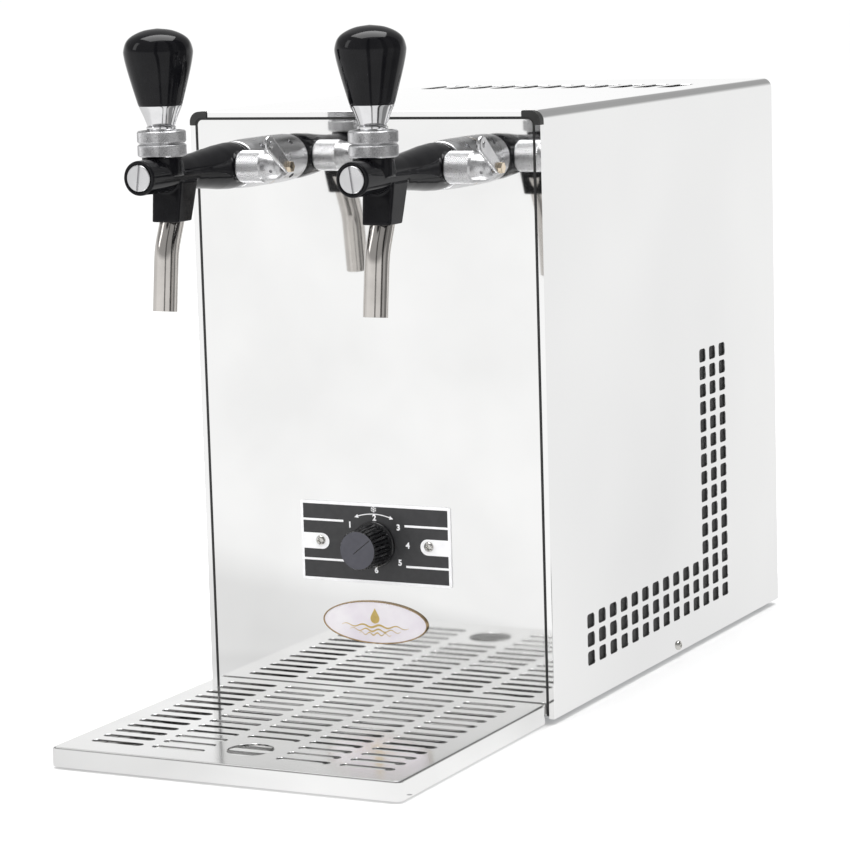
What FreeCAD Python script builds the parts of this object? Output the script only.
import FreeCAD, Part
import math
import os

from FreeCAD import Vector

# Countertop beverage cooler with two compensator taps, a lift-off drip grate and a dry-cooling unit inside.
# Millimetres. +X is the user's right, +Y points from the user into the casing, +Z is up.
# Everything is drawn with y = 0 on the front panel's outer face, and moved on export so that the
# origin is at the middle of the footprint, on the counter.

# ---- driving dimensions ------------------------------------------------------------------------------
CASE_WIDTH = 258.0
CASE_DEPTH = 414.0
CASE_TOP = 400.0
CASE_UNDERSIDE = 4.0
SHEET = 1.2
CASE_CORNER = 7.0
FLANGE = 4.0
GASKET_WIDTH = 1.5

TRAY_WIDTH = 248.0
TRAY_DEPTH = 211.0
TRAY_RIM = 13.2
TRAY_FLOOR = 1.5
GRATE_PITCH_X = 44.5
GRATE_PITCH_Y = 14.25

TAP_X = 75.0
TAP_Z = 367.5
TAP_FRONT = -156.0
LEVER_Y = -126.0
LEVER_ARM = 24.0
COMPENSATOR_Y = -52.0
NUT_FRONT = -36.0

DIAL_X = 0.9
DIAL_Z = 113.1
BADGE_X = -0.5
BADGE_Z = 60.0

STEM_END = 432.0
STEM_RADIUS = 4.76
INLET_Z = 230.0

# ---- worked out from the driving dimensions ----------------------------------------------------------
HALF_WIDTH = CASE_WIDTH / 2
PIVOT_Z = TAP_Z + LEVER_ARM
REAR_FACE = CASE_DEPTH
FOOTPRINT_SHIFT = Vector(0, (TRAY_DEPTH - STEM_END) / 2, 0)
X_AXIS = Vector(1, 0, 0)
Y_AXIS = Vector(0, 1, 0)
Z_AXIS = Vector(0, 0, 1)
SIDES = {"left": -TAP_X, "right": TAP_X}


# ---- small tools -------------------------------------------------------------------------------------
def save(node, shapes):
    """Write one sub-part, a shape or a list of separate solids, moved to the footprint's frame."""
    shape = Part.makeCompound(shapes) if isinstance(shapes, list) else shapes
    shape = shape.copy()
    shape.translate(FOOTPRINT_SHIFT)
    if not shape.isValid():
        print("INVALID", node)
    print("%-26s solids %2d  volume %9.0f" % (node, len(shape.Solids), shape.Volume))
    shape.exportStep("parts/%s.step" % node)


def block(x_range, y_range, z_range):
    size = [high - low for low, high in (x_range, y_range, z_range)]
    return Part.makeBox(size[0], size[1], size[2], Vector(x_range[0], y_range[0], z_range[0]))


def rounded_block(x_range, y_range, z_range, radius, axis=Z_AXIS):
    """A block whose edges along axis are rounded."""
    solid = block(x_range, y_range, z_range)
    edges = [edge for edge in solid.Edges if abs(edge.tangentAt(0).dot(axis)) > 0.99]
    return solid.makeFillet(radius, edges)


def rod(start, end, radius):
    """A solid cylinder from one point to another."""
    start, end = Vector(*start), Vector(*end)
    return Part.makeCylinder(radius, (end - start).Length, start, end - start)


def sleeve(start, end, outer, inner):
    return rod(start, end, outer).cut(rod(start, end, inner))


def turned(profile, origin, axis, smooth=False):
    """A turned solid: profile is a list of (radius, distance along axis), starting and ending on the axis."""
    side = X_AXIS if abs(axis.dot(X_AXIS)) < 0.5 else Y_AXIS
    points = [Vector(*origin) + side * radius + axis * along for radius, along in profile]
    if smooth:
        curve = Part.BSplineCurve()
        curve.interpolate(points[1:])
        edges = [Part.makeLine(points[0], points[1]), curve.toShape(), Part.makeLine(points[-1], points[0])]
        face = Part.Face(Part.Wire(edges))
    else:
        face = Part.Face(Part.makePolygon(points + [points[0]]))
    return face.revolve(Vector(*origin), axis, 360)


def tube_path(points, bend):
    """Straight runs joined by tangent arcs of one bend radius."""
    points = [Vector(*point) for point in points]
    edges = []
    start = points[0]
    for before, corner, after in zip(points, points[1:], points[2:]):
        into = (corner - before).normalize()
        out = (after - corner).normalize()
        half_turn = math.acos(max(-1.0, min(1.0, into.dot(out)))) / 2
        setback = bend * math.tan(half_turn)
        arc_start = corner - into * setback
        arc_end = corner + out * setback
        inward = (out - into).normalize()
        middle = corner + inward * (bend / math.cos(half_turn) - bend)
        edges.append(Part.makeLine(start, arc_start))
        edges.append(Part.Arc(arc_start, middle, arc_end).toShape())
        start = arc_end
    edges.append(Part.makeLine(start, points[-1]))
    return Part.Wire(edges)


def swept_rod(points, bend, radius):
    path = tube_path(points, bend)
    start = Vector(*points[0])
    direction = Vector(*points[1]) - start
    section = Part.Wire(Part.makeCircle(radius, start, direction))
    return path.makePipeShell([section], True, False)


def tube(points, bend, outer, inner):
    return swept_rod(points, bend, outer).cut(swept_rod(points, bend, inner))


def arch_block(half_width, bottom, top, radius, y_range):
    """A block with its two top edges rounded, the outline of the casing's cross section."""
    low, high = y_range
    solid = block((-half_width, half_width), (low, high), (bottom, top))
    edges = [edge for edge in solid.Edges
             if abs(edge.tangentAt(0).dot(Y_AXIS)) > 0.99 and edge.CenterOfMass.z > top - 0.1]
    return solid.makeFillet(radius, edges)


def hexagon(across_flats, centre, axis, length):
    circle = across_flats / 2 / math.cos(math.pi / 6)
    side = X_AXIS if abs(axis.dot(X_AXIS)) < 0.5 else Y_AXIS
    other = axis.cross(side)
    corners = [Vector(*centre) + side * circle * math.cos(k * math.pi / 3)
               + other * circle * math.sin(k * math.pi / 3) for k in range(7)]
    return Part.Face(Part.makePolygon(corners)).extrude(axis * length)


def obround(length, width, centre_x, centre_y, z_range):
    """A slot with round ends, along X."""
    half = length / 2 - width / 2
    low, high = z_range
    middle = block((centre_x - half, centre_x + half), (centre_y - width / 2, centre_y + width / 2), z_range)
    ends = [rod((centre_x + sign * half, centre_y, low), (centre_x + sign * half, centre_y, high), width / 2)
            for sign in (-1, 1)]
    return middle.fuse(ends).removeSplitter()


# ---- casing ------------------------------------------------------------------------------------------
VENT_PITCH_Y = 18.72
VENT_PITCH_Z = 12.67
VENT_COLUMNS = 14
VENT_LOW_ROWS = 3
VENT_TALL_ROWS = 15
VENT_TALL_COLUMNS = 3
VENT_FIRST = (61.5, 32.2)
VENT_SIZE = (11.5, 9.2)
SIDE_SCREW = (213.0, 9.0)
TOP_VENT_Y = (285.0, 332.0)
TOP_VENT_WIDTH = 12.0
TOP_VENT_PITCH = 19.0
CAP_LEG = (13.0, 9.0)
CAP_DEPTH = 5.0


def side_vent_places():
    for column in range(VENT_COLUMNS):
        tall = column >= VENT_COLUMNS - VENT_TALL_COLUMNS
        for row in range(VENT_TALL_ROWS if tall else VENT_LOW_ROWS):
            yield VENT_FIRST[0] + column * VENT_PITCH_Y, VENT_FIRST[1] + row * VENT_PITCH_Z


def side_vent_cutters():
    half_y, half_z = VENT_SIZE[0] / 2, VENT_SIZE[1] / 2
    return [rounded_block((-HALF_WIDTH - 5, HALF_WIDTH + 5), (y - half_y, y + half_y), (z - half_z, z + half_z),
                          1.8, X_AXIS) for y, z in side_vent_places()]


def top_vent_cutters():
    """A row of long slots across the top, with round ends."""
    half = TOP_VENT_WIDTH / 2
    return [rounded_block((x - half, x + half), TOP_VENT_Y, (CASE_TOP - 5, CASE_TOP + 5), half - 0.1)
            for x in (k * TOP_VENT_PITCH for k in range(-5, 6))]


def corner_zones():
    """The two top front corners that the plastic caps take over from the sheet metal."""
    width, height = CAP_LEG
    return [block(sorted((sign * (HALF_WIDTH + 5), sign * (HALF_WIDTH - width))), (-5, CAP_DEPTH),
                  (CASE_TOP - height, CASE_TOP + 5)) for sign in (-1, 1)]


def casing_wrapper():
    inner_radius = CASE_CORNER - SHEET
    outer = arch_block(HALF_WIDTH, CASE_UNDERSIDE, CASE_TOP, CASE_CORNER, (0, CASE_DEPTH))
    inner = arch_block(HALF_WIDTH - SHEET, CASE_UNDERSIDE - 5, CASE_TOP - SHEET, inner_radius,
                       (-5, CASE_DEPTH + 5))
    shell = outer.cut(inner)
    front_frame = arch_block(HALF_WIDTH - SHEET / 2, CASE_UNDERSIDE, CASE_TOP - SHEET / 2, inner_radius,
                             (0, SHEET))
    front_hole = arch_block(HALF_WIDTH - FLANGE, CASE_UNDERSIDE - 5, CASE_TOP - FLANGE, 5.0, (-5, 5))
    rear_low = CASE_DEPTH - 2 * SHEET - 0.1
    rear_frame = arch_block(HALF_WIDTH - SHEET / 2, 22, CASE_TOP - SHEET / 2, inner_radius,
                            (rear_low, rear_low + SHEET))
    rear_hole = arch_block(HALF_WIDTH - 14, 20, CASE_TOP - 14, 3.0, (rear_low - 5, rear_low + 5))
    shell = shell.fuse([front_frame.cut(front_hole), rear_frame.cut(rear_hole)])
    cutters = side_vent_cutters() + top_vent_cutters() + corner_zones()
    y, z = SIDE_SCREW
    cutters.append(rod((-HALF_WIDTH - 5, y, z), (HALF_WIDTH + 5, y, z), 2.1))
    cutters += [rod((x, rear_low - 1, z), (x, REAR_FACE, z), 1.9) for x, z in REAR_SCREWS[2:]]
    return shell.cut(Part.makeCompound(cutters)).removeSplitter()


def corner_caps():
    outer = arch_block(HALF_WIDTH, CASE_UNDERSIDE, CASE_TOP, CASE_CORNER, (-0.8, CAP_DEPTH))
    inner = arch_block(HALF_WIDTH - FLANGE, 0, CASE_TOP - FLANGE, 5.0, (-5, CAP_DEPTH + 5))
    ring = outer.cut(inner)
    return [ring.common(zone) for zone in corner_zones()]


def panel_gasket():
    outer = arch_block(HALF_WIDTH - FLANGE, 6, CASE_TOP - FLANGE, 5.0, (-0.4, 2.4))
    inner = arch_block(HALF_WIDTH - FLANGE - GASKET_WIDTH, 5, CASE_TOP - FLANGE - GASKET_WIDTH, 3.6, (-5, 5))
    return outer.cut(inner)


def front_panel():
    half = HALF_WIDTH - FLANGE - GASKET_WIDTH
    panel = arch_block(half, 6, CASE_TOP - FLANGE - GASKET_WIDTH, 3.6, (0, SHEET))
    holes = [rod((x, -5, TAP_Z), (x, 5, TAP_Z), SHANK_THREAD) for x in SIDES.values()]
    holes.append(rod((DIAL_X, -5, DIAL_Z), (DIAL_X, 5, DIAL_Z), BUSH_RADIUS))
    holes += [rod((x, -5, z), (x, 5, z), SCREW_SHANK) for x, z in plate_screw_places()]
    return panel.cut(Part.makeCompound(holes))


REAR_SCREWS = [(-90.0, 12.0), (90.0, 12.0), (-121.0, 120.0), (121.0, 120.0), (-121.0, 300.0), (121.0, 300.0),
               (-60.0, 392.0), (60.0, 392.0)]
SWITCH = (98.0, 70.0)
GLAND = (98.0, 36.0)
FAN_Z = 87.0


def rear_panel():
    inset = SHEET + 0.1
    panel = arch_block(HALF_WIDTH - inset, CASE_UNDERSIDE + 1.7, CASE_TOP - inset, CASE_CORNER - inset,
                       (REAR_FACE - SHEET, REAR_FACE))
    holes = []
    for row in range(11):
        z = FAN_Z - 60 + row * 12
        holes += [rounded_block((x - 24, x + 24), (REAR_FACE - 5, REAR_FACE + 5), (z - 2.5, z + 2.5), 2.4,
                                Y_AXIS) for x in (-29, 29)]
    y_pair = (REAR_FACE - 5, REAR_FACE + 5)
    holes += [rod((x, y_pair[0], INLET_Z), (x, y_pair[1], INLET_Z), 7.0) for x in SIDES.values()]
    holes.append(rod((GLAND[0], y_pair[0], GLAND[1]), (GLAND[0], y_pair[1], GLAND[1]), 7.9))
    holes.append(block((SWITCH[0] - 9.5, SWITCH[0] + 9.5), y_pair, (SWITCH[1] - 6.5, SWITCH[1] + 6.5)))
    holes += [rod((x, y_pair[0], z), (x, y_pair[1], z), SCREW_SHANK) for x, z in REAR_SCREWS]
    return panel.cut(Part.makeCompound(holes))


PAN_HALF = HALF_WIDTH - SHEET - 0.1
FOOT_PLACES = [(sx * 105.0, y) for sx in (-1, 1) for y in (32.0, 382.0)]
GROMMET_PLACES = [(sx * 48.0, 245.0 + sy * 40.0) for sx in (-1, 1) for sy in (-1, 1)]


def base_pan():
    low, top = CASE_UNDERSIDE, CASE_UNDERSIDE + 1.5
    y_range = (SHEET + 1.6, REAR_FACE - SHEET)
    floor = block((-PAN_HALF, PAN_HALF), y_range, (low, top))
    walls = [block(sorted((sign * PAN_HALF, sign * (PAN_HALF - 1.5))), y_range, (low, 20)) for sign in (-1, 1)]
    walls.append(block((-PAN_HALF, PAN_HALF), (y_range[1] - 1.5, y_range[1]), (low, 20)))
    pan = floor.fuse(walls)
    y, z = SIDE_SCREW
    holes = [rod((x, y, 0), (x, y, 10), 3.0) for x, y in FOOT_PLACES]
    holes.append(rod((-PAN_HALF - 1, y, z), (PAN_HALF + 1, y, z), SCREW_SHANK))
    holes += [rod((x, REAR_FACE - 5, z), (x, REAR_FACE, z), SCREW_SHANK) for x, z in REAR_SCREWS[:2]]
    holes += [block((x - 14, x + 14), (y - 3, y + 3), (0, 10)) for x in (-85, 85) for y in range(100, 301, 25)]
    return pan.cut(Part.makeCompound(holes)).removeSplitter()


def rubber_feet():
    floor_top = CASE_UNDERSIDE + 1.5
    profile = [(0, 0), (9.0, 0), (10.0, 1.0), (10.0, CASE_UNDERSIDE), (3.0, CASE_UNDERSIDE), (3.0, floor_top),
               (4.6, floor_top), (3.4, floor_top + 3), (0, floor_top + 3)]
    return [turned(profile, (x, y, 0), Z_AXIS) for x, y in FOOT_PLACES]


SCREW_SHANK = 1.9
SCREW_HEAD = 3.4


def pan_head_screw(under_head, outward):
    """A cross-recessed pan head screw: under_head is the head's seat, outward the way the head faces."""
    head = turned([(0, 0), (SCREW_HEAD, 0), (SCREW_HEAD, 0.8), (2.6, 1.7), (1.2, 2.1), (0, 2.2)],
                  under_head, outward)
    seat = Vector(*under_head)
    shank = Part.makeCylinder(SCREW_SHANK, 8.0, seat - outward * 8.0, outward)
    screw = head.fuse(shank).removeSplitter()
    side = X_AXIS if abs(outward.dot(X_AXIS)) < 0.5 else Y_AXIS
    other = outward.cross(side)
    for along, across in ((side, other), (other, side)):
        corners = [seat + along * a * 1.7 + across * b * 0.35 + outward * 1.1
                   for a, b in ((-1, -1), (1, -1), (1, 1), (-1, 1), (-1, -1))]
        screw = screw.cut(Part.Face(Part.makePolygon(corners)).extrude(outward * 2))
    return screw


def pan_head_screws():
    y, z = SIDE_SCREW
    screws = [pan_head_screw((sign * HALF_WIDTH, y, z), X_AXIS * sign) for sign in (-1, 1)]
    screws += [pan_head_screw((x, REAR_FACE, z), Y_AXIS) for x, z in REAR_SCREWS]
    screws += [pan_head_screw((x, -PLATE_THICK, z), -Y_AXIS) for x, z in plate_screw_places()]
    return screws


# ---- drip tray ---------------------------------------------------------------------------------------
TRAY_BACK = -0.5
GRATE_GAP = 0.5


def drip_tray():
    half = TRAY_WIDTH / 2
    outer = rounded_block((-half, half), (-TRAY_DEPTH, TRAY_BACK), (TRAY_FLOOR, TRAY_RIM), 5.0)
    inner = rounded_block((-half + SHEET, half - SHEET), (-TRAY_DEPTH + SHEET, TRAY_BACK - SHEET),
                          (TRAY_FLOOR + SHEET, TRAY_RIM + 5), 3.8)
    tongues = [block((x - 15, x + 15), (TRAY_BACK - SHEET, 24), (TRAY_FLOOR, TRAY_FLOOR + SHEET))
               for x in (-60, 60)]
    return outer.cut(inner).fuse(tongues).removeSplitter()


def tray_pads():
    return [rod((x, y, 0), (x, y, TRAY_FLOOR), 7.0) for x in (-105, 105) for y in (-190, -25)]


def grate_slot_places():
    for column in range(-2, 3):
        for row in range(13):
            if column == 0 and row < 3:
                continue
            yield column * GRATE_PITCH_X, -186.0 + row * GRATE_PITCH_Y


def tray_grate():
    gap = SHEET + GRATE_GAP
    half = TRAY_WIDTH / 2 - gap
    front, back = -TRAY_DEPTH + gap, TRAY_BACK - gap
    low, top = TRAY_FLOOR + SHEET + 0.1, TRAY_RIM + 0.8
    outer = rounded_block((-half, half), (front, back), (low, top), 3.2)
    inner = rounded_block((-half + SHEET, half - SHEET), (front + SHEET, back - SHEET), (low - 5, top - SHEET),
                          2.2)
    cutters = [obround(37.5, 6.4, x, y, (top - 5, top + 5)) for x, y in grate_slot_places()]
    cutters.append(rod((0, FINGER_HOLE_Y, top - 5), (0, FINGER_HOLE_Y, top + 5), 15.0))
    return outer.cut(inner).cut(Part.makeCompound(cutters))


FINGER_HOLE_Y = -173.0


# ---- thermostat and badge ----------------------------------------------------------------------------
PLATE_THICK = 1.0
PLATE_SIZE = (112.0, 54.0)
PLATE_CENTRE = (1.5, 113.4)
BUSH_RADIUS = 4.5
DIAL_SHAFT = 2.95


def plate_screw_places():
    return [(DIAL_X + sign * 39.5, DIAL_Z) for sign in (-1, 1)]


def thermostat_plate():
    (width, height), (x, z) = PLATE_SIZE, PLATE_CENTRE
    plate = rounded_block((x - width / 2, x + width / 2), (-PLATE_THICK, 0), (z - height / 2, z + height / 2),
                          1.5, Y_AXIS)
    holes = [rod((x, -5, z), (x, 5, z), SCREW_SHANK) for x, z in plate_screw_places()]
    holes.append(rod((DIAL_X, -5, DIAL_Z), (DIAL_X, 5, DIAL_Z), BUSH_RADIUS))
    return plate.cut(Part.makeCompound(holes))


def thermostat_knob():
    start = PLATE_THICK + 0.4
    origin = (DIAL_X, -start, DIAL_Z)
    profile = [(0, 0), (15.4, 0), (15.4, 2.2), (14.2, 3.2), (13.4, 23.0), (12.6, 24.4), (0, 24.4)]
    knob = turned(profile, origin, -Y_AXIS)
    flutes = []
    for k in range(30):
        angle = 2 * math.pi * k / 30
        x, z = DIAL_X + 14.2 * math.cos(angle), DIAL_Z + 14.2 * math.sin(angle)
        flutes.append(rod((x, -start - 4.2, z), (x, -start - 30, z), 0.85))
    flutes.append(rod((DIAL_X, 0, DIAL_Z), (DIAL_X, -15, DIAL_Z), DIAL_SHAFT))
    return knob.cut(Part.makeCompound(flutes))


def thermostat_shaft():
    return rod((DIAL_X, -15, DIAL_Z), (DIAL_X, 18, DIAL_Z), DIAL_SHAFT)


def thermostat_body():
    case = rounded_block((DIAL_X - 19, DIAL_X + 19), (3.4, 34), (DIAL_Z - 17, DIAL_Z + 17), 3.0, Y_AXIS)
    bush = rod((DIAL_X, -0.9, DIAL_Z), (DIAL_X, 4, DIAL_Z), BUSH_RADIUS)
    nut = hexagon(14.0, (DIAL_X, SHEET, DIAL_Z), Y_AXIS, 2.2)
    blades = [block((x - 3, x + 3), (34, 42), (DIAL_Z - 6, DIAL_Z - 5.2)) for x in (DIAL_X - 9, DIAL_X + 9)]
    bore = rod((DIAL_X, -2, DIAL_Z), (DIAL_X, 20, DIAL_Z), DIAL_SHAFT + 0.08)
    return case.fuse([bush, nut] + blades).cut(bore).removeSplitter()


def ellipse_plate(half_x, half_z, thick):
    curve = Part.Ellipse(Vector(0, 0, 0), half_x, half_z)
    face = Part.Face(Part.Wire(curve.toShape()))
    face.rotate(Vector(0, 0, 0), X_AXIS, 90)
    face.translate(Vector(BADGE_X, 0, BADGE_Z))
    return face.extrude(Vector(0, -thick, 0))


def badge_plate():
    rim = ellipse_plate(39.0, 14.5, 1.8).cut(ellipse_plate(36.8, 12.3, 5.0))
    return rim.fuse(ellipse_plate(36.8, 12.3, 1.2)).removeSplitter()


# ---- taps --------------------------------------------------------------------------------------------
BARREL_RADIUS = 11.0
CHAMBER_RADIUS = 6.5
CHAMBER = (-150.0, -94.0)
PLUG_RADIUS = 8.4
BOSS_RADIUS = 13.0
RING_RADIUS = 15.5
RING_LOW = 379.3
RING_HEIGHT = 7.7
RING_GAP = 0.8
SPOUT_RADIUS = 7.8
SPOUT_PATH = [(-110.9, 352.0), (-125.5, 320.0), (-130.3, 281.5)]
SPOUT_BEND = 45.0
COLLAR_START = 14.5
COLLAR_END = 32.5
DOME_END = 46.0
SHANK_THREAD = 8.0
SHANK_SHOULDER = 10.8
WATERWAY = 3.2
SPINDLE = 2.9


def spout_points(x):
    return [(x, y, z) for y, z in SPOUT_PATH]


def spout_block(x):
    """The leaning block under the barrel, wider at the top, that holds the spout."""
    sections = []
    for z, centre_y, width, depth in ((337.5, -117.5, 19.5, 18.4), (363.0, -111.5, 21.5, 22.0)):
        corners = [Vector(x + a * width / 2, centre_y + b * depth / 2, z)
                   for a, b in ((-1, -1), (1, -1), (1, 1), (-1, 1), (-1, -1))]
        sections.append(Part.makePolygon(corners))
    solid = Part.makeLoft(sections, True, True)
    upright = [edge for edge in solid.Edges if edge.BoundBox.ZLength > 10]
    return solid.makeFillet(1.6, upright)


def tap_body(x):
    length = NUT_FRONT - TAP_FRONT
    profile = [(0, 0.6), (10.2, 0.6), (BARREL_RADIUS, 1.4), (BARREL_RADIUS, 58), (11.6, 68), (12.9, 82),
               (14.3, 95), (15.1, 107), (15.2, 112), (14.9, 116), (14.0, length - 0.4), (10.8, length - 0.4),
               (10.8, length + 12), (0, length + 12)]
    shape = turned(profile, (x, TAP_FRONT, TAP_Z), Y_AXIS)
    boss = rod((x, LEVER_Y, TAP_Z), (x, LEVER_Y, RING_LOW), BOSS_RADIUS)
    side_boss = rod((x, COMPENSATOR_Y, TAP_Z), (x + COLLAR_START - 0.5, COMPENSATOR_Y, TAP_Z), 9.6)
    shape = shape.fuse([boss, side_boss, spout_block(x)])
    cutters = [
        rod((x, TAP_FRONT - 5, TAP_Z), (x, CHAMBER[0], TAP_Z), PLUG_RADIUS),
        rod((x, CHAMBER[0] - 1, TAP_Z), (x, CHAMBER[1], TAP_Z), CHAMBER_RADIUS),
        rod((x, CHAMBER[1] - 1, TAP_Z), (x, NUT_FRONT + 20, TAP_Z), WATERWAY),
        block((x - 3.2, x + 3.2), (LEVER_Y - 7.5, LEVER_Y + 11.6), (TAP_Z, RING_LOW + 5)),
        rod((x, COMPENSATOR_Y, TAP_Z), (x + 20, COMPENSATOR_Y, TAP_Z), SPINDLE + 0.08),
        rod((x + COLLAR_START - 0.3, COMPENSATOR_Y, TAP_Z), (x + 20, COMPENSATOR_Y, TAP_Z), 11.0),
        swept_rod(spout_points(x), SPOUT_BEND, SPOUT_RADIUS),
        rod((x, -110.0, 349.5), (x, -105.5, 361.0), 4.6),
    ]
    return shape.cut(Part.makeCompound(cutters)).removeSplitter()


def front_plug(x):
    """Slotted screw plug. The two taps' slots came to rest leaning towards each other."""
    plug = rod((x, TAP_FRONT, TAP_Z), (x, CHAMBER[0], TAP_Z), PLUG_RADIUS)
    slot = block((x - 1.0, x + 1.0), (TAP_FRONT - 1, TAP_FRONT + 1.2), (TAP_Z - 12, TAP_Z + 12))
    slot.rotate(Vector(x, 0, TAP_Z), Y_AXIS, 8 if x < 0 else -8)
    return plug.cut(slot)


def bonnet_ring(x):
    """Lower knurled ring, which holds the lever's seat on the body."""
    high = RING_HEIGHT
    profile = [(0, 0), (RING_RADIUS - 0.7, 0), (RING_RADIUS, 0.7), (RING_RADIUS, high - 0.7),
               (RING_RADIUS - 0.7, high), (0, high)]
    ring = turned(profile, (x, LEVER_Y, RING_LOW), Z_AXIS)
    return ring.cut(rod((x, LEVER_Y, 0), (x, LEVER_Y, CASE_TOP), 8.6))


def lever_ring(x):
    """Upper knurled ring, dished on top so that the lever can swing, standing on a short neck."""
    low = RING_LOW + RING_HEIGHT + RING_GAP
    high = RING_HEIGHT
    profile = [(0, -RING_GAP), (11.0, -RING_GAP), (11.0, 0), (RING_RADIUS - 0.7, 0), (RING_RADIUS, 0.7),
               (RING_RADIUS, high - 0.7), (RING_RADIUS - 0.7, high), (13.5, high), (11.9, high - 4.5), (0, high - 4.5)]
    ring = turned(profile, (x, LEVER_Y, low), Z_AXIS)
    return ring.cut(rod((x, LEVER_Y, 0), (x, LEVER_Y, CASE_TOP), 4.9))


FERRULE_LOW = 396.0
GRIP_LOW = 411.0
STEM = 2.9
BALL = 4.5


def handle_ferrule(x):
    profile = [(0, 0), (8.6, 0), (9.4, 0.8), (9.4, 1.8), (8.7, 2.4), (9.6, 5.0), (11.4, 9.5), (13.8, 15.0), (0, 15.0)]
    ferrule = turned(profile, (x, LEVER_Y, FERRULE_LOW), Z_AXIS)
    return ferrule.cut(rod((x, LEVER_Y, FERRULE_LOW - 1), (x, LEVER_Y, CASE_TOP + 20), STEM))


def handle_grip(x):
    profile = [(0, 0), (13.8, 0), (15.9, 7.5), (17.9, 14.7), (20.3, 24.0), (21.7, 31.0), (21.8, 35.0),
               (19.9, 40.4), (15.6, 44.2), (8.5, 47.1), (0, 48.2)]
    grip = turned(profile, (x, LEVER_Y, GRIP_LOW), Z_AXIS, smooth=True)
    return grip.cut(rod((x, LEVER_Y, GRIP_LOW - 1), (x, LEVER_Y, GRIP_LOW + 14), STEM))


def lever_stem(x):
    ball = Part.makeSphere(BALL, Vector(x, LEVER_Y, PIVOT_Z))
    tip = Part.makeSphere(2.8, Vector(x, LEVER_Y, TAP_Z))
    arm = rod((x, LEVER_Y, TAP_Z), (x, LEVER_Y, PIVOT_Z), 2.0)
    stem = rod((x, LEVER_Y, PIVOT_Z), (x, LEVER_Y, GRIP_LOW + 13), STEM)
    return ball.fuse([tip, arm, stem]).removeSplitter()


SEAL_PLACES = (-138.0, -111.0)


def valve_plunger(x):
    body = rod((x, -142, TAP_Z), (x, -107, TAP_Z), 6.2)
    half = 3.35
    outline = [(-half, -3.3), (half, -3.3), (half, 0), (half + 2.8, 7.5), (-half - 4.8, 7.5), (-half, 0), (-half, -3.3)]
    corners = [Vector(x - 8, LEVER_Y + y, TAP_Z + z) for y, z in outline]
    notch = Part.Face(Part.makePolygon(corners)).extrude(X_AXIS * 16)
    grooves = [sleeve((x, y - 1.15, TAP_Z), (x, y + 1.15, TAP_Z), 8.0, 4.25) for y in SEAL_PLACES]
    return body.cut(Part.makeCompound([notch] + grooves))


def plunger_seals(x):
    return [Part.makeTorus(5.32, 1.02, Vector(x, y, TAP_Z), Y_AXIS) for y in SEAL_PLACES]


def spout(x):
    return tube(spout_points(x), SPOUT_BEND, SPOUT_RADIUS, SPOUT_RADIUS - 1.0)


def compensator_collar(x):
    """Knurled nut and smooth dome in one turned piece, on the body's side boss."""
    start = x + COLLAR_START
    knurl = COLLAR_END - COLLAR_START
    dome = DOME_END - COLLAR_START
    profile = [(0, 0), (9.7, 0), (10.5, 0.8), (10.5, knurl - 0.8), (9.7, knurl), (9.4, knurl + 0.6),
               (9.2, knurl + 5.0), (8.2, knurl + 9.5), (6.4, dome - 0.8), (5.6, dome), (0, dome)]
    collar = turned(profile, (start, COMPENSATOR_Y, TAP_Z), X_AXIS)
    return collar.cut(rod((x, COMPENSATOR_Y, TAP_Z), (x + 60, COMPENSATOR_Y, TAP_Z), SPINDLE + 0.08))


LEVER_LEAN = 54.0
PADDLE_LENGTH = 27.0


def compensator_lever(x):
    """Flat paddle on the end of the compensator's spindle, wider at its free end."""
    low, high = x + DOME_END + 0.4, x + DOME_END + 3.4
    hub_radius, tip_radius = 4.2, 5.6
    hub = rod((low, 0, 0), (high, 0, 0), hub_radius)
    tip = rod((low, 0, PADDLE_LENGTH), (high, 0, PADDLE_LENGTH), tip_radius)
    corners = [(-hub_radius, 0), (hub_radius, 0), (tip_radius, PADDLE_LENGTH), (-tip_radius, PADDLE_LENGTH),
               (-hub_radius, 0)]
    web = Part.Face(Part.makePolygon([Vector(low, y, z) for y, z in corners])).extrude(X_AXIS * (high - low))
    lever = hub.fuse([tip, web]).removeSplitter()
    lever = lever.cut(rod((low - 1, 0, 0), (high + 1, 0, 0), SPINDLE - 0.9))
    lever.rotate(Vector(0, 0, 0), X_AXIS, LEVER_LEAN)
    lever.translate(Vector(0, COMPENSATOR_Y, TAP_Z))
    return lever


def compensator_spindle(x):
    """Needle in the waterway, stem through the collar, and a hexagon that clamps the lever."""
    start = x - 1.5
    lever_low, lever_high = x + DOME_END + 0.4, x + DOME_END + 3.4
    axis_y = COMPENSATOR_Y
    profile = [(0, 0), (1.4, 0), (SPINDLE, 7.0), (SPINDLE, lever_low - start), (SPINDLE - 0.9, lever_low - start),
               (SPINDLE - 0.9, lever_high - start), (0, lever_high - start)]
    stem = turned(profile, (start, axis_y, TAP_Z), X_AXIS)
    head = hexagon(6.8, (lever_high, axis_y, TAP_Z), X_AXIS, 2.6)
    return stem.fuse(head).removeSplitter()


def coupling_nut(x):
    length = -2.0 - NUT_FRONT
    profile = [(0, 0), (14.6, 0), (15.4, 0.8), (15.9, 8.0), (16.0, 20.0), (16.0, length - 0.6), (15.4, length),
               (0, length)]
    nut = turned(profile, (x, NUT_FRONT, TAP_Z), Y_AXIS)
    nut = nut.cut(rod((x, NUT_FRONT - 5, TAP_Z), (x, 5, TAP_Z), SHANK_SHOULDER + 0.2))
    middle = NUT_FRONT + 17.0
    for angle in (45, 135, 225, 315):
        radians = math.radians(angle)
        start = (x + 13.4 * math.cos(radians), middle, TAP_Z + 13.4 * math.sin(radians))
        end = (x + 18 * math.cos(radians), middle, TAP_Z + 18 * math.sin(radians))
        nut = nut.cut(rod(start, end, 2.2))
    return nut


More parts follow.
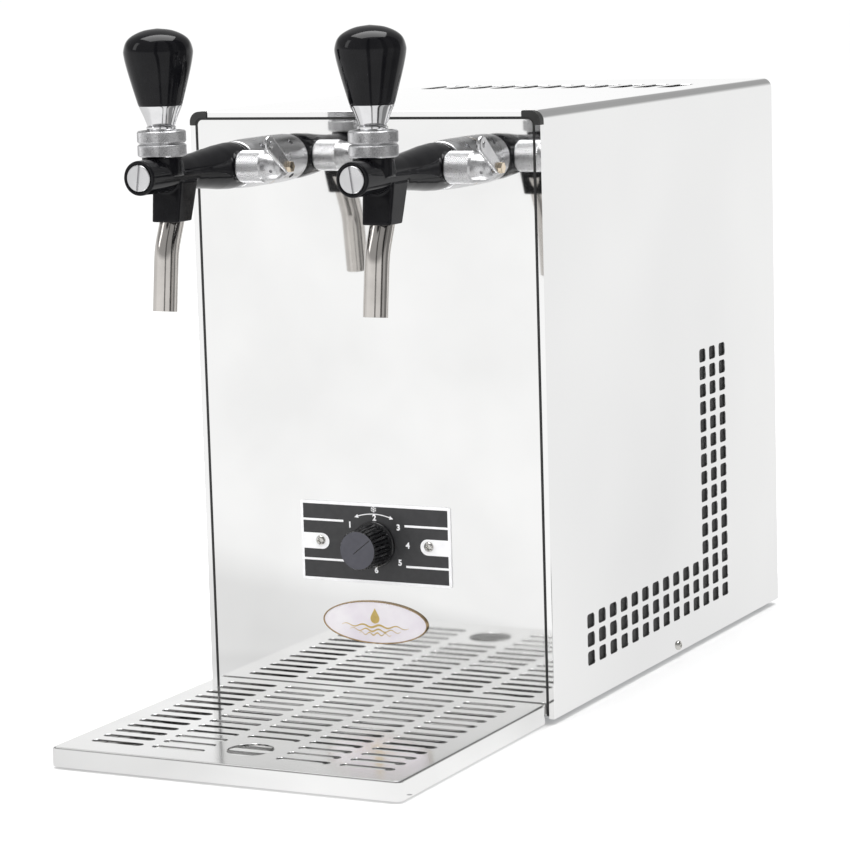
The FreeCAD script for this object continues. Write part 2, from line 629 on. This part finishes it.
def shank(x):
    """Threaded tail from the coupling nut through the front panel, with a stub for the product line."""
    shape = rod((x, NUT_FRONT + 12, TAP_Z), (x, -2, TAP_Z), SHANK_SHOULDER)
    parts = [rod((x, -2, TAP_Z), (x, 0, TAP_Z), 16.0),
             rod((x, 0, TAP_Z), (x, 24, TAP_Z), SHANK_THREAD),
             rod((x, 24, TAP_Z), (x, 38, TAP_Z), COIL_RADIUS)]
    shape = shape.fuse(parts).removeSplitter()
    return shape.cut(rod((x, NUT_FRONT, TAP_Z), (x, 40, TAP_Z), WATERWAY))


def shank_fasteners(x):
    """Washer and hexagon nut behind the panel."""
    washer = sleeve((x, SHEET, TAP_Z), (x, SHEET + 1.5, TAP_Z), 13.0, SHANK_THREAD)
    nut = hexagon(24.0, (x, SHEET + 1.5, TAP_Z), Y_AXIS, 6.5)
    return [washer, nut.cut(rod((x, 0, TAP_Z), (x, 20, TAP_Z), SHANK_THREAD))]


# ---- cooling unit ------------------------------------------------------------------------------------
COIL_RADIUS = 4.0
COIL_PITCH = 25.0
COIL_Y = (60.0, 160.0)
BLOCK_BACK = 170.0
EVAPORATOR_Y = BLOCK_BACK + 3.4
COMPRESSOR = (0.0, 245.0)
COMPRESSOR_TOP = 165.0
CONDENSER_Y = (318.0, 350.0)
FAN_PLANE = 353.0


def product_coil(x):
    """Product tube from the shank, wound down the cooling block's side, then back to the rear inlet."""
    front, back = COIL_Y
    z = INLET_Z + 4 * COIL_PITCH
    points = [(38.0, TAP_Z), (front - 6, TAP_Z), (front - 6, z)]
    for run in range(4):
        end = back if run % 2 == 0 else front
        points += [(end, z), (end, z - COIL_PITCH)]
        z -= COIL_PITCH
    points.append((396.0, z))
    return tube([(x, y, z) for y, z in points], 12.0, COIL_RADIUS, 3.2)


def cooling_block():
    return rounded_block((-70.8, 70.8), (54, BLOCK_BACK), (216, 345), 6.0)


def insulation_jacket():
    outer = rounded_block((-94, 94), (30, 196), (200, 362.5), 8.0)
    inner = rounded_block((-79.6, 79.6), (45, 182), (213, 349.5), 6.0)
    holes = []
    for x in SIDES.values():
        holes.append(rod((x, COIL_Y[0] - 6, 340), (x, COIL_Y[0] - 6, 370), COIL_RADIUS + 0.3))
        holes.append(rod((x, 175, INLET_Z), (x, 200, INLET_Z), COIL_RADIUS + 0.3))
    holes += [rod((x, EVAPORATOR_Y, 195), (x, EVAPORATOR_Y, 220), 3.5) for x in (-62, 62)]
    return outer.cut(Part.makeCompound([inner] + holes))


def evaporator_coil():
    """Copper tube on the block's back: up from the drier, zigzag, down and over to the compressor."""
    points = [(62, 120), (62, 336)]
    z = 336
    for run in range(5):
        end = -42 if run % 2 == 0 else 44
        points += [(end, z), (end, z - 20)]
        z -= 20
    points += [(-62, z), (-62, 178)]
    route = [(x, EVAPORATOR_Y, z) for x, z in points]
    route += [(-62, 228, 178), (-20, 228, 178), (-20, 228, COMPRESSOR_TOP)]
    return tube(route, 8.0, 3.0, 2.3)


def compressor():
    x, y = COMPRESSOR
    profile = [(0, 0), (48, 0), (55, 7), (55, 66), (57, 68), (57, 72), (55, 74), (55, 122), (51, 132), (42, 137),
               (0, 137)]
    pot = turned(profile, (x, y, COMPRESSOR_TOP - 137), Z_AXIS)
    plate = rounded_block((x - 58, x + 58), (y - 50, y + 50), (22, 25), 8.0)
    posts = sleeve((x, y, 25), (x, y, 29), 44, 30)
    terminal = rounded_block((x - 14, x + 14), (y - 68, y - 50), (80, 110), 3.0)
    holes = [rod((gx, gy, 15), (gx, gy, 30), 4.0) for gx, gy in GROMMET_PLACES]
    return pot.fuse([plate, posts, terminal]).cut(Part.makeCompound(holes)).removeSplitter()


def compressor_grommets():
    profile = [(0, 0), (9, 0), (9, 16.5), (4.0, 16.5), (4.0, 19.5), (6.0, 19.5), (5.0, 23.0), (0, 23.0)]
    return [turned(profile, (x, y, CASE_UNDERSIDE + 1.5), Z_AXIS) for x, y in GROMMET_PLACES]


def condenser():
    low, high = CONDENSER_Y
    middle = (low + high) / 2
    fins = [block((x - 0.4, x + 0.4), (low, high), (14, 160)) for x in range(-64, 65, 8)]
    tubes = [rod((-66, middle + dy, z), (66, middle + dy, z), 4.0) for dy in (-8, 8) for z in range(30, 151, 24)]
    ends = [block((x - 0.8, x + 0.8), (low, high), (CASE_UNDERSIDE + 1.5, 160)) for x in (-66, 66)]
    return ends[0].fuse(ends[1:] + fins + tubes).removeSplitter()


def refrigerant_lines():
    x, y = 25, 262
    middle = sum(CONDENSER_Y) / 2
    discharge = tube([(x, y, COMPRESSOR_TOP), (x, y, 184), (x, middle, 184), (x, middle, 160)], 8.0, 2.5, 1.8)
    liquid = tube([(62, EVAPORATOR_Y, 40), (62, EVAPORATOR_Y, 24), (62, CONDENSER_Y[0], 24)], 8.0, 2.5, 1.8)
    return [discharge, liquid]


def filter_drier():
    profile = [(0, 0), (3.4, 0), (3.4, 6), (9.5, 14), (9.5, 66), (3.4, 74), (3.4, 80), (0, 80)]
    return turned(profile, (62, EVAPORATOR_Y, 40), Z_AXIS)


def fan_shroud():
    plate = block((-66, 66), (CONDENSER_Y[1], FAN_PLANE), (CASE_UNDERSIDE + 1.5, 160))
    ring = rod((0, CONDENSER_Y[1], FAN_Z), (0, 374, FAN_Z), 59)
    opening = rod((0, 340, FAN_Z), (0, 380, FAN_Z), 57)
    return plate.fuse(ring).cut(opening).removeSplitter()


def fan_motor():
    can = rod((0, 376, FAN_Z), (0, 404, FAN_Z), 21)
    arms = []
    for angle in (45, 135, 225, 315):
        arm = block((15, 61), (376, 379), (-4, 4))
        arm.rotate(Vector(0, 0, 0), Y_AXIS, angle)
        arm.translate(Vector(0, 0, FAN_Z))
        arms.append(arm)
    rim = sleeve((0, 374, FAN_Z), (0, 379, FAN_Z), 62, 58)
    bore = rod((0, 370, FAN_Z), (0, 398, FAN_Z), 3.05)
    return can.fuse(arms + [rim]).cut(bore).removeSplitter()


def fan_rotor():
    hub = rod((0, 356, FAN_Z), (0, 368, FAN_Z), 14)
    shaft = rod((0, 360, FAN_Z), (0, 397, FAN_Z), 3.0)
    blades = []
    for k in range(5):
        blade = block((8, 53), (-0.7, 0.7), (-15, 15))
        blade.rotate(Vector(0, 0, 0), X_AXIS, 62)
        blade = blade.common(block((0, 60), (-6.5, 6.5), (-20, 20)))
        blade.translate(Vector(0, 362.5, 0))
        blade.rotate(Vector(0, 0, 0), Y_AXIS, 72 * k)
        blade.translate(Vector(0, 0, FAN_Z))
        blades.append(blade)
    return hub.fuse([shaft] + blades).removeSplitter()


# ---- rear connections --------------------------------------------------------------------------------
def inlet_stem(x):
    """Bulkhead fitting through the rear panel with a plain stem for a push-on product line."""
    z = INLET_Z
    flange = hexagon(20.0, (x, REAR_FACE, z), Y_AXIS, 4.0)
    thread = rod((x, 396, z), (x, REAR_FACE, z), 7.0)
    stem = turned([(0, 0), (STEM_RADIUS, 0), (STEM_RADIUS, STEM_END - 418.6), (STEM_RADIUS - 0.6, STEM_END - 418),
                   (0, STEM_END - 418)], (x, 418, z), Y_AXIS)
    nut = hexagon(18.0, (x, 404, z), Y_AXIS, 5.0)
    shape = flange.fuse([thread, stem, nut])
    return shape.cut(rod((x, 390, z), (x, STEM_END + 5, z), WATERWAY)).removeSplitter()


def switch_frame():
    x, z = SWITCH
    bezel = rounded_block((x - 11, x + 11), (REAR_FACE, REAR_FACE + 2), (z - 8, z + 8), 1.5, Y_AXIS)
    body = block((x - 9.4, x + 9.4), (REAR_FACE - 16, REAR_FACE), (z - 6.4, z + 6.4))
    well = block((x - 7.6, x + 7.6), (REAR_FACE - 8, REAR_FACE + 5), (z - 5.2, z + 5.2))
    return bezel.fuse(body).cut(well).removeSplitter()


ROCKER_TILT = 8.0


def switch_rocker():
    x, z = SWITCH
    pad = Part.makeCylinder(22.0, 14.4, Vector(x - 7.2, REAR_FACE + 23.2, z), X_AXIS)
    pad = block((x - 7.2, x + 7.2), (REAR_FACE - 3, REAR_FACE + 3), (z - 4.6, z + 4.6)).cut(pad)
    pad.rotate(Vector(x, REAR_FACE, z), X_AXIS, -ROCKER_TILT)
    return pad


def cable_gland():
    x, z = GLAND
    body = rod((x, REAR_FACE - 12, z), (x, REAR_FACE, z), 7.9)
    collar = hexagon(20.0, (x, REAR_FACE, z), Y_AXIS, 4.5)
    dome = turned([(0, 0), (9.2, 0), (9.0, 4.0), (6.6, 7.5), (0, 7.5)], (x, REAR_FACE + 4.5, z), Y_AXIS)
    nut = hexagon(19.0, (x, REAR_FACE - SHEET - 4.5, z), Y_AXIS, 4.5)
    shape = body.fuse([collar, dome, nut])
    return shape.cut(rod((x, REAR_FACE - 20, z), (x, REAR_FACE + 20, z), 3.75)).removeSplitter()


# ---- write every sub-part ----------------------------------------------------------------------------
def main():
    os.makedirs("parts", exist_ok=True)
    single = [casing_wrapper, corner_caps, panel_gasket, front_panel, rear_panel, base_pan, rubber_feet,
              pan_head_screws, drip_tray, tray_pads, tray_grate, thermostat_plate, thermostat_knob,
              thermostat_shaft, thermostat_body, badge_plate, cooling_block, insulation_jacket,
              evaporator_coil, compressor, compressor_grommets, condenser, refrigerant_lines, filter_drier,
              fan_shroud, fan_motor, fan_rotor, switch_frame, switch_rocker, cable_gland]
    for build in single:
        save(build.__name__, build())
    per_tap = [tap_body, handle_grip, handle_ferrule, lever_stem, valve_plunger, plunger_seals, spout,
               compensator_collar, compensator_lever, compensator_spindle, shank, product_coil]
    for side, x in SIDES.items():
        for build in per_tap:
            save("%s_%s" % (build.__name__, side), build(x))
    for name, build in (("front_plugs", front_plug), ("bonnet_rings", bonnet_ring), ("lever_rings", lever_ring),
                        ("coupling_nuts", coupling_nut), ("inlet_stems", inlet_stem)):
        save(name, [build(x) for x in SIDES.values()])
    save("shank_nuts", [piece for x in SIDES.values() for piece in shank_fasteners(x)])


main()
